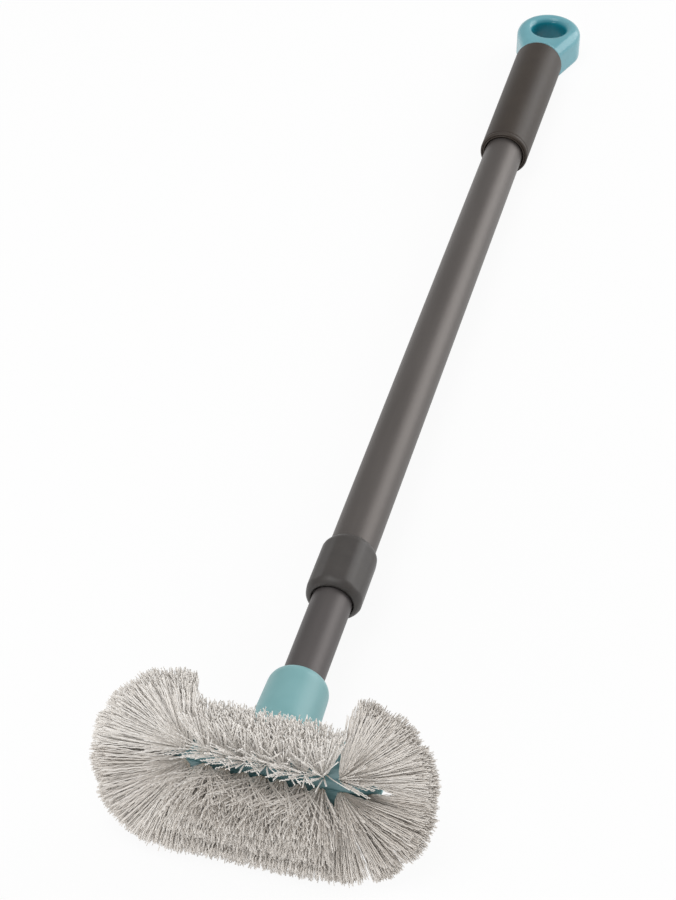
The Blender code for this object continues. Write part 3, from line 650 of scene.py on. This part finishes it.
# Bristles. Each tuft is (x, y, azimuth, lean, fan, splay, length, uneven, strands): its hole's place on the
# face, the way it leans round and away from the face's normal, how far its strands spread each way and how
# far their lengths differ, in mm and degrees. A hole whose strands part widely has two or three entries.
bristles = {
    # The strands' own sizes, for the inputs of their tree
    "inRows": {"Strand radius": 0.26, "Points": 19, "Crimp": 0.25, "Stray": 1.0, "Stray angle": 4.0},
    "atEnds": {"Strand radius": 0.22, "Points": 15, "Crimp": 0.16, "Stray": 0.7, "Stray angle": 2.6},
    "everywhere": {"Hole radius": 1.6, "Upright at root": 0.62},
    "buried": 1.5,
    # Painted shade: each piece's tufts are drawn darker, towards the filament's dark end, 1 being unshaded;
    # the lower rows and the right end are darkest
    "shadeLightness": {"upperBristles": 1.0, "lowerBristles": 0.6, "outerBristles": 0.6,
                  "rightUpperBristles": 0.66, "rightLowerBristles": 0.5,
                  "leftUpperBristles": 0.92, "leftLowerBristles": 0.56},
    # The rows: how many tufts and how far apart, then y, azimuth, lean, fan, splay, length, uneven, strands
    "rowTufts": 7,
    "pitch": 34.0 / 4.1,  # the head's half span takes 4.1 tufts
    "upperRow": [(3.0, 90, 72, 22, 5, 26.8, 1.0, 120), (3.0, 90, 61, 28, 7, 26.0, 1.5, 50),
                 (2.8, 90, 30, 80, 16, 25.0, 1.0, 22)],
    "lowerRow": [(-3.7, -90, 62, 25, 8, 31.0, 1.0, 120), (-3.7, -90, 46, 36, 10, 29.0, 1.5, 50),
                 (-3.6, -90, 34, 100, 18, 27.0, 2.0, 46)],
    "outerPitch": 8.5,
    "outerRow": [(-11.0, -90, 66, 17, 8, 31.0, 1.0, 130)],
    # One more at each end of the lower outer row, a little further out
    "outerExtra": [(29.9, -11.8, -92, 82, 7, 4, 28.0, 1.0, 26),
                   (-29.9, -11.8, -92, 77, 14, 6, 29.0, 1.0, 70)],
    # The outer tufts stand on a circle round each end, of radius endHoles, and lean endLean
    "endHoles": 11.0,
    "endLean": {1: 78, -1: 67},
    "endSplay": 4.5,
    "endUneven": 1.0,
    "endStrands": 300,
    # By end and side: place on the circle and azimuth, from the head's length, then fan and length
    "endOuter": {
        (1, 1): [(80, 73, 12, 30.5), (56, 51, 13, 32), (31, 29, 13.5, 32), (22, 12, 14.5, 31.2)],
        (1, -1): [(90, 76, 15, 30.5), (60, 47, 11.5, 31.5), (36, 21.5, 14, 31.5), (20, -2, 15, 31.2)],
        (-1, 1): [(88, 84, 13, 30.5), (64, 66, 12, 31), (38, 43, 17, 30), (12, 12, 17.5, 30)],
        (-1, -1): [(92, 93, 14, 30.5), (66, 70, 16.5, 31), (40, 45, 17, 31.2), (13, 14, 18, 30.2)],
    },
    # The inner tufts share a hole each side of the rib: azimuth, lean, fan, splay, length, uneven, strands
    "endInnerX": 33.3,
    "endInnerY": {1: 3.0, -1: -3.7},
    "endInner": {
        (1, 1): [(73, 81, 12.5, 3, 33.5, 4.5, 170), (48, 82, 18, 3, 36, 5, 200),
                 (27, 84, 12, 4, 35, 5, 170), (38, 46, 36, 14, 22, 4, 45)],
        (1, -1): [(76, 79, 11, 4, 34, 5, 100), (47, 78, 10, 4, 33, 5, 90), (15, 81, 16, 4, 34, 5, 140),
                  (45, 46, 45, 14, 22, 4, 50)],
        (-1, 1): [(84, 72, 13, 4, 32, 4, 190), (56, 73, 19, 4, 34, 5, 200), (20, 72, 20, 5, 34, 5, 180),
                  (40, 40, 60, 14, 22, 4, 40)],
        (-1, -1): [(80, 72, 17, 4, 34, 5, 160), (46, 71, 21, 4, 34, 5, 180), (12, 71, 18, 5, 34, 5, 170),
                   (40, 42, 60, 14, 22, 4, 45)],
    },
}


def rowTufts(which, pitch):
    count = bristles["rowTufts"]
    return [(pitch * (i - count // 2),) + entry for i in range(count) for entry in bristles[which]]


def endTufts(end, side):
    # They are laid out at the right end, and the left end's are then mirrored
    reach = bristles["endHoles"]
    found = [(bristles["endInnerX"], bristles["endInnerY"][side], side * azimuth, *rest)
             for azimuth, *rest in bristles["endInner"][end, side]]
    for place, azimuth, fan, length in bristles["endOuter"][end, side]:
        t = math.radians(place)
        found.append((headMoulding["halfSpan"] + reach * math.cos(t), side * reach * math.sin(t),
                      side * azimuth, bristles["endLean"][end], fan, bristles["endSplay"], length,
                      bristles["endUneven"], bristles["endStrands"]))
    return [(end * x, y, azimuth if end > 0 else 180 - azimuth, *rest) for x, y, azimuth, *rest in found]


def surfaceHeight(x, y):
    # The tufted face: flat in the middle, sloped off outside the flat's oblong outline
    head = headMoulding
    beyond = max(0.0, abs(x) - head["halfSpan"])
    distance = math.hypot(beyond, y)
    slope = head["facetDrop"] / (head["radius"] - head["flatRadius"])
    return -max(0.0, distance - head["flatRadius"]) * slope


# What each strand draws, with its range: its spot in the hole, as a share of the area and a turn, the plane
# of its crimp, its strays from its tuft's way, its length, its drift and its shade
strandDraws = {"spot": (0, 1), "turn": (0, 6.2832), "phase": (0, 6.2832), "strayAzimuth": (-1, 1),
               "strayLean": (-1, 1), "longer": (-1, 1), "drift": (-1, 1), "shade": (-0.35, 0)}
# How it bends near its root, drifts and comes into its crimp, and the step between its draws' seeds
strandShape = {"seedStep": 17.0, "bendPower": 5.0, "bendShare": 0.2, "driftPower": 1.8,
               "crimpStarts": 0.02, "crimpFull": 0.2, "crimpAtRoot": 0.1}
tuftColumns = {"azimuth": 2, "lean": 3, "fan": 4, "splay": 5, "length": 6, "uneven": 7}
treeInputs = {"Tufts": "Geometry", "Strand radius": "Float", "Hole radius": "Float", "Points": "Int",
              "Crimp": "Float", "Stray": "Float", "Stray angle": "Float", "Upright at root": "Float",
              "Floor normal": "Vector", "Floor offset": "Float", "Cleanness": "Float", "Seed": "Int",
              "Finish": "Material"}


def strandTree():
    tree = bpy.data.node_groups.new("tuftStrands", "GeometryNodeTree")
    for name, kind in treeInputs.items():
        tree.interface.new_socket(name=name, in_out="INPUT", socket_type="NodeSocket" + kind)
    tree.interface.new_socket(name="Strands", in_out="OUTPUT", socket_type="NodeSocketGeometry")
    add = partial(addNode, tree)
    given = add("NodeGroupInput").outputs
    shape = strandShape

    # One point for each strand, which keeps what the strand draws and where its tuft stands
    points = add("GeometryNodeMeshToPoints", {}, {"Mesh": given["Tufts"]})
    strandCount = add("GeometryNodeInputNamedAttribute", {"data_type": "INT", "Name": "strands"})
    stored = add("GeometryNodeDuplicateElements", {"domain": "POINT"},
                 {"Geometry": points, "Amount": strandCount})
    strandId = add("GeometryNodeInputIndex")
    for offset, (name, (low, high)) in enumerate(strandDraws.items()):
        seed = add("ShaderNodeMath", {"operation": "ADD", 1: offset * shape["seedStep"]},
                   {0: given["Seed"]})
        draw = add("FunctionNodeRandomValue", {"data_type": "FLOAT", 2: low, 3: high},
                   {"ID": strandId, "Seed": seed})
        stored = add("GeometryNodeStoreNamedAttribute",
                     {"data_type": "FLOAT", "domain": "POINT", "Name": name},
                     {"Geometry": stored, "Value": draw.outputs[1]})
    place = add("GeometryNodeInputPosition")
    stored = add("GeometryNodeStoreNamedAttribute",
                 {"data_type": "FLOAT_VECTOR", "domain": "POINT", "Name": "root"},
                 {"Geometry": stored, "Value": place})
    root = add("GeometryNodeInputNamedAttribute", {"data_type": "FLOAT_VECTOR", "Name": "root"})
    kept = {name: add("GeometryNodeInputNamedAttribute", {"data_type": "FLOAT", "Name": name})
            for name in (*strandDraws, *tuftColumns)}

    # One straight strand, evenly divided, set at every point and made real before it is bent
    straight = add("GeometryNodeCurvePrimitiveLine", {"End": (0, 0, 1)})
    divided = add("GeometryNodeResampleCurve", {}, {"Curve": straight, "Count": given["Points"]})
    placed = add("GeometryNodeInstanceOnPoints", {}, {"Points": stored, "Instance": divided})
    real = add("GeometryNodeRealizeInstances", {}, {"Geometry": placed})
    along = add("GeometryNodeSplineParameter")

    # Its spot in the hole: u across the tuft's way and v along it, evenly spread over the hole
    spread = add("ShaderNodeMath", {"operation": "SQRT"}, {0: kept["spot"]})
    cosTurn = add("ShaderNodeMath", {"operation": "COSINE"}, {0: kept["turn"]})
    sinTurn = add("ShaderNodeMath", {"operation": "SINE"}, {0: kept["turn"]})
    u = add("ShaderNodeMath", {"operation": "MULTIPLY"}, {0: spread, 1: cosTurn})
    v = add("ShaderNodeMath", {"operation": "MULTIPLY"}, {0: spread, 1: sinTurn})

    def direction(azimuth, lean):
        # Unit vector from an azimuth in the face and a lean from its normal
        sinLean = add("ShaderNodeMath", {"operation": "SINE"}, {0: lean})
        cosLean = add("ShaderNodeMath", {"operation": "COSINE"}, {0: lean})
        cosAzimuth = add("ShaderNodeMath", {"operation": "COSINE"}, {0: azimuth})
        sinAzimuth = add("ShaderNodeMath", {"operation": "SINE"}, {0: azimuth})
        x = add("ShaderNodeMath", {"operation": "MULTIPLY"}, {0: cosAzimuth, 1: sinLean})
        y = add("ShaderNodeMath", {"operation": "MULTIPLY"}, {0: sinAzimuth, 1: sinLean})
        return add("ShaderNodeCombineXYZ", {}, {"X": x, "Y": y, "Z": cosLean})

    # The way it leans, which follows its spot in the hole, with a stray of its own
    strayAngle = add("ShaderNodeMath", {"operation": "RADIANS"}, {0: given["Stray angle"]})
    fanned = add("ShaderNodeMath", {"operation": "MULTIPLY_ADD"},
                 {0: u, 1: kept["fan"], 2: kept["azimuth"]})
    azimuth = add("ShaderNodeMath", {"operation": "MULTIPLY_ADD"},
                  {0: kept["strayAzimuth"], 1: strayAngle, 2: fanned})
    splayed = add("ShaderNodeMath", {"operation": "MULTIPLY_ADD"},
                  {0: v, 1: kept["splay"], 2: kept["lean"]})
    lean = add("ShaderNodeMath", {"operation": "MULTIPLY_ADD"},
               {0: kept["strayLean"], 1: strayAngle, 2: splayed})
    firstLean = add("ShaderNodeMath", {"operation": "MULTIPLY"}, {0: lean, 1: given["Upright at root"]})
    final = direction(azimuth, lean)
    first = direction(azimuth, firstLean)

    # The strand's path turns from its first way to its final one, mostly near the root
    left = add("ShaderNodeMath", {"operation": "SUBTRACT", 0: 1.0}, {1: along})
    leftPower = add("ShaderNodeMath", {"operation": "POWER", 1: shape["bendPower"]}, {0: left})
    early = add("ShaderNodeMath",
                {"operation": "MULTIPLY_ADD", 1: -shape["bendShare"], 2: shape["bendShare"]},
                {0: leftPower})
    late = add("ShaderNodeMath", {"operation": "SUBTRACT"}, {0: along, 1: early})
    firstPart = add("ShaderNodeVectorMath", {"operation": "SCALE"}, {0: first, "Scale": early})
    finalPart = add("ShaderNodeVectorMath", {"operation": "SCALE"}, {0: final, "Scale": late})
    path = add("ShaderNodeVectorMath", {"operation": "ADD"}, {0: firstPart, 1: finalPart})
    reach = add("ShaderNodeMath", {"operation": "MULTIPLY_ADD"},
                {0: kept["longer"], 1: kept["uneven"], 2: kept["length"]})
    run = add("ShaderNodeVectorMath", {"operation": "SCALE"}, {0: path, "Scale": reach})

    # Where it stands in its hole
    outward, sideStep = [
        add("ShaderNodeVectorRotate", {"rotation_type": "Z_AXIS", "Vector": way}, {"Angle": kept["azimuth"]})
        for way in ((1, 0, 0), (0, 1, 0))]
    acrossSize = add("ShaderNodeMath", {"operation": "MULTIPLY"}, {0: u, 1: given["Hole radius"]})
    outSize = add("ShaderNodeMath", {"operation": "MULTIPLY"}, {0: v, 1: given["Hole radius"]})
    acrossStep = add("ShaderNodeVectorMath", {"operation": "SCALE"}, {0: sideStep, "Scale": acrossSize})
    outStep = add("ShaderNodeVectorMath", {"operation": "SCALE"}, {0: outward, "Scale": outSize})
    inHole = add("ShaderNodeVectorMath", {"operation": "ADD"}, {0: root, 1: acrossStep})
    foot = add("ShaderNodeVectorMath", {"operation": "ADD"}, {0: inHole, 1: outStep})
    smoothPlace = add("ShaderNodeVectorMath", {"operation": "ADD"}, {0: foot, 1: run})

    # Crimp: every other point steps to the other side, in a plane that each strand draws
    normal = add("ShaderNodeVectorMath", {"operation": "CROSS_PRODUCT"}, {0: final, 1: sideStep})
    cosPhase = add("ShaderNodeMath", {"operation": "COSINE"}, {0: kept["phase"]})
    sinPhase = add("ShaderNodeMath", {"operation": "SINE"}, {0: kept["phase"]})
    crimpSide = add("ShaderNodeVectorMath", {"operation": "SCALE"}, {0: sideStep, "Scale": cosPhase})
    crimpUp = add("ShaderNodeVectorMath", {"operation": "SCALE"}, {0: normal, "Scale": sinPhase})
    crimpWay = add("ShaderNodeVectorMath", {"operation": "ADD"}, {0: crimpSide, 1: crimpUp})
    gaps = add("ShaderNodeMath", {"operation": "SUBTRACT", 1: 1.0}, {0: given["Points"]})
    halfTurns = add("ShaderNodeMath", {"operation": "MULTIPLY", 1: math.pi}, {0: gaps})
    step = add("ShaderNodeMath", {"operation": "MULTIPLY"}, {0: along, 1: halfTurns})
    zigzag = add("ShaderNodeMath", {"operation": "COSINE"}, {0: step})
    crimpFade = {"From Min": shape["crimpStarts"], "From Max": shape["crimpFull"],
                 "To Min": shape["crimpAtRoot"]}
    fade = add("ShaderNodeMapRange", crimpFade, {"Value": along, "To Max": given["Crimp"]})
    zigzagSize = add("ShaderNodeMath", {"operation": "MULTIPLY"}, {0: zigzag, 1: fade})

    # Drift: it wanders off the path in the same plane, more and more towards its tip
    alongPower = add("ShaderNodeMath", {"operation": "POWER", 1: shape["driftPower"]}, {0: along})
    driftSize = add("ShaderNodeMath", {"operation": "MULTIPLY"}, {0: kept["drift"], 1: given["Stray"]})
    waveSize = add("ShaderNodeMath", {"operation": "MULTIPLY_ADD"},
                   {0: alongPower, 1: driftSize, 2: zigzagSize})
    crimped = add("ShaderNodeVectorMath", {"operation": "SCALE"}, {0: crimpWay, "Scale": waveSize})
    bent = add("ShaderNodeVectorMath", {"operation": "ADD"}, {0: smoothPlace, 1: crimped})

    # A strand that would pass the floor lies along it instead
    height = add("ShaderNodeVectorMath", {"operation": "DOT_PRODUCT"}, {0: bent, 1: given["Floor normal"]})
    clear = add("ShaderNodeMath", {"operation": "ADD"},
                {0: height.outputs["Value"], 1: given["Floor offset"]})
    short = add("ShaderNodeMath", {"operation": "SUBTRACT"}, {0: given["Strand radius"], 1: clear})
    lift = add("ShaderNodeMath", {"operation": "MAXIMUM", 1: 0.0}, {0: short})
    lifted = add("ShaderNodeVectorMath", {"operation": "SCALE"}, {0: given["Floor normal"], "Scale": lift})
    restPlace = add("ShaderNodeVectorMath", {"operation": "ADD"}, {0: bent, 1: lifted})
    line = add("GeometryNodeSetPosition", {}, {"Geometry": real, "Position": restPlace})

    # What its finish reads, and its three-sided skin
    # The tone is the strand's own random tone plus its piece's painted shade
    tone = add("ShaderNodeMath", {"operation": "ADD"}, {0: kept["shade"], 1: given["Cleanness"]})
    for name, value in (("along", along), ("tone", tone)):
        line = add("GeometryNodeStoreNamedAttribute",
                   {"data_type": "FLOAT", "domain": "POINT", "Name": name},
                   {"Geometry": line, "Value": value})
    section = add("GeometryNodeCurvePrimitiveCircle", {"Resolution": 3}, {"Radius": given["Strand radius"]})
    strand = add("GeometryNodeCurveToMesh", {"Fill Caps": True}, {"Curve": line, "Profile Curve": section})
    flat = add("GeometryNodeSetShadeSmooth", {"Shade Smooth": False}, {"Geometry": strand})
    whole = add("GeometryNodeRealizeInstances", {}, {"Geometry": flat})
    coloured = add("GeometryNodeSetMaterial", {}, {"Geometry": whole, "Material": given["Finish"]})
    add("NodeGroupOutput", {}, {"Strands": coloured})
    return tree


def makeBristles(name, tufts, seed, node, where="inRows"):
    mesh = bpy.data.meshes.new(name + "Roots")
    roots = [(x, y, surfaceHeight(x, y) - bristles["buried"]) for x, y, *rest in tufts]
    mesh.from_pydata(roots, [], [])
    for word, column in tuftColumns.items():
        values = [row[column] for row in tufts]
        if word not in ("length", "uneven"):
            values = [math.radians(angle) for angle in values]
        mesh.attributes.new(word, "FLOAT", "POINT").data.foreach_set("value", values)
    mesh.attributes.new("strands", "INT", "POINT").data.foreach_set("value", [row[-1] for row in tufts])
    obj = addObject(name + "Roots", mesh)
    settings = {
        **bristles["everywhere"],
        **bristles[where],
        "Floor normal": Vector(headFrame[2][:3]) / mm,
        "Floor offset": headFrame[2][3] / mm,
        "Cleanness": bristles["shadeLightness"][name],
        "Seed": seed,
        "Finish": filamentFinish,
    }
    modifier = obj.modifiers.new("strands", "NODES")
    modifier.node_group = tuftStrands
    for socket in tuftStrands.interface.items_tree:
        if socket.in_out == "INPUT" and socket.name in settings:
            modifier[socket.identifier] = settings[socket.name]
    strands = plainMesh(obj)
    for word in (*tuftColumns, *strandDraws, "root", "strands"):
        if word in strands.attributes:
            strands.attributes.remove(strands.attributes[word])
    finishPiece(name, strands, "head", filamentFinish, [node], headFrame)


tuftStrands = strandTree()
makeBristles("upperBristles", rowTufts("upperRow", bristles["pitch"]), 5, "bristles_upper_row")
makeBristles("lowerBristles", rowTufts("lowerRow", bristles["pitch"]), 6, "bristles_lower_rows")
outerTufts = bristles["outerExtra"] + rowTufts("outerRow", bristles["outerPitch"])
makeBristles("outerBristles", outerTufts, 9, "bristles_lower_rows")
for end, endName in ((1, "right"), (-1, "left")):
    for side, sideName in ((1, "Upper"), (-1, "Lower")):
        makeBristles(endName + sideName + "Bristles", endTufts(end, side), 10 + 2 * end + side,
                     "bristles_" + endName + "_" + sideName.lower(), "atEnds")
print("bristles made")


# The inner pieces keep their CAD shapes and take their finishes here, as the hidden nodes do
nodeFinishes = {"threaded_ferrule": acetalFinish, "split_collet": acetalFinish, "guide_bush": acetalFinish,
                "tube_end_insert": darkFinish, "ring_cross_pin": steelFinish, "hanging_ring": ringFinish,
                "head_block": tealFinish, "grip_sleeve": gripFinish, "outer_tube": outerTubeFinish,
                "inner_tube": innerTubeFinish, "twist_collar": darkFinish}
for nodeName, node in frame["nodes"].items():
    for materialSlot in node.material_slots:
        materialSlot.material = nodeFinishes.get(nodeName, filamentFinish)  # the rest are bristles
print("inner pieces finished")


# Floor, light and camera
studio = {
    "floor": "#F2F2F2",
    "floorReach": 30.0,  # metres each way
    "floorSockets": {"Roughness": 0.9, "Specular IOR Level": 0.1},
    "cameraShare": 0.92,  # how much of the floor that the camera sees is plain white, not lit
    "ambient": 0.48,
    "lamps": [
        # name, place, aim, width, height, watts
        ("rightBox", (1.15, 1.25, 0.70), (0.0, 0.0, 0.03), 1.5, 1.3, 17.0),
        ("overheadBox", (-0.40, -0.30, 1.50), (0.0, 0.0, 0.0), 1.0, 1.0, 9.0),
        ("frontBox", (-0.35, -2.00, 0.35), (0.0, -0.15, 0.0), 1.6, 0.6, 15.5),
    ],
    # Place in metres in the handle's frame, and the camera's right, up and back ways in it
    "cameraPlace": (0.1775, -0.4987, 0.6624),
    "cameraWays": ((0.9636, 0.267, -0.0105), (-0.1716, 0.6483, 0.7418), (0.2049, -0.713, 0.6705)),
    "lens": 80.0,
    "sensorWidth": 36.0,
}


def makeFloor():
    reach = studio["floorReach"]
    mesh = bpy.data.meshes.new("floor")
    mesh.from_pydata([(-reach, -reach, 0), (reach, -reach, 0), (reach, reach, 0), (-reach, reach, 0)],
                     [], [(0, 1, 2, 3)])
    material, tree, shader = newFinish("paleFloor", studio["floorSockets"])
    shader.inputs["Base Color"].default_value = linear(studio["floor"])
    rays = addNode(tree, "ShaderNodeLightPath").outputs
    direct = addNode(tree, "ShaderNodeMath", {"operation": "MAXIMUM"},
                     {0: rays["Is Camera Ray"], 1: rays["Is Glossy Ray"]})
    seen = addNode(tree, "ShaderNodeMath", {"operation": "MAXIMUM"},
                   {0: direct, 1: rays["Is Transmission Ray"]})
    share = addNode(tree, "ShaderNodeMath", {"operation": "MULTIPLY", 1: studio["cameraShare"]}, {0: seen})
    glow = addNode(tree, "ShaderNodeEmission", {"Strength": 1.0})
    mixed = addNode(tree, "ShaderNodeMixShader", {}, {0: share, 1: shader, 2: glow})
    tree.links.new(mixed.outputs[0], tree.nodes["Material Output"].inputs["Surface"])
    mesh.materials.append(material)
    addObject("floor", mesh)


def makeRoom():
    world = bpy.data.worlds.new("paleRoom")
    bpy.context.scene.world = world
    world.use_nodes = True
    room = world.node_tree
    background = room.nodes["Background"]
    background.inputs["Color"].default_value = (1, 1, 1, 1)
    rays = addNode(room, "ShaderNodeLightPath").outputs
    seen = addNode(room, "ShaderNodeMath", {"operation": "MAXIMUM"},
                   {0: rays["Is Camera Ray"], 1: rays["Is Transmission Ray"]})
    strength = addNode(room, "ShaderNodeMapRange", {"To Min": studio["ambient"], "To Max": 1.0},
                       {"Value": seen})
    room.links.new(strength.outputs[0], background.inputs["Strength"])


def makeLamps():
    for name, place, aim, width, height, watts in studio["lamps"]:
        lamp = bpy.data.lights.new(name, "AREA")
        lamp.shape = "RECTANGLE"
        lamp.size = width
        lamp.size_y = height
        lamp.energy = watts
        way = Vector(aim) - Vector(place)
        turn = way.to_track_quat("-Z", "Y").to_matrix().to_4x4()
        addObject(name, lamp).matrix_world = Matrix.Translation(place) @ turn


def makeCamera():
    lens = bpy.data.cameras.new("camera")
    lens.lens = studio["lens"]
    lens.sensor_width = studio["sensorWidth"]
    lens.clip_start = 0.01
    camera = addObject("camera", lens)
    turn = Matrix(studio["cameraWays"]).transposed().to_4x4()
    camera.matrix_world = handleMetres @ Matrix.Translation(studio["cameraPlace"]) @ turn
    bpy.context.scene.camera = camera


makeFloor()
makeRoom()
makeLamps()
makeCamera()
bpy.context.scene.view_settings.view_transform = "Standard"
print("studio and camera set")
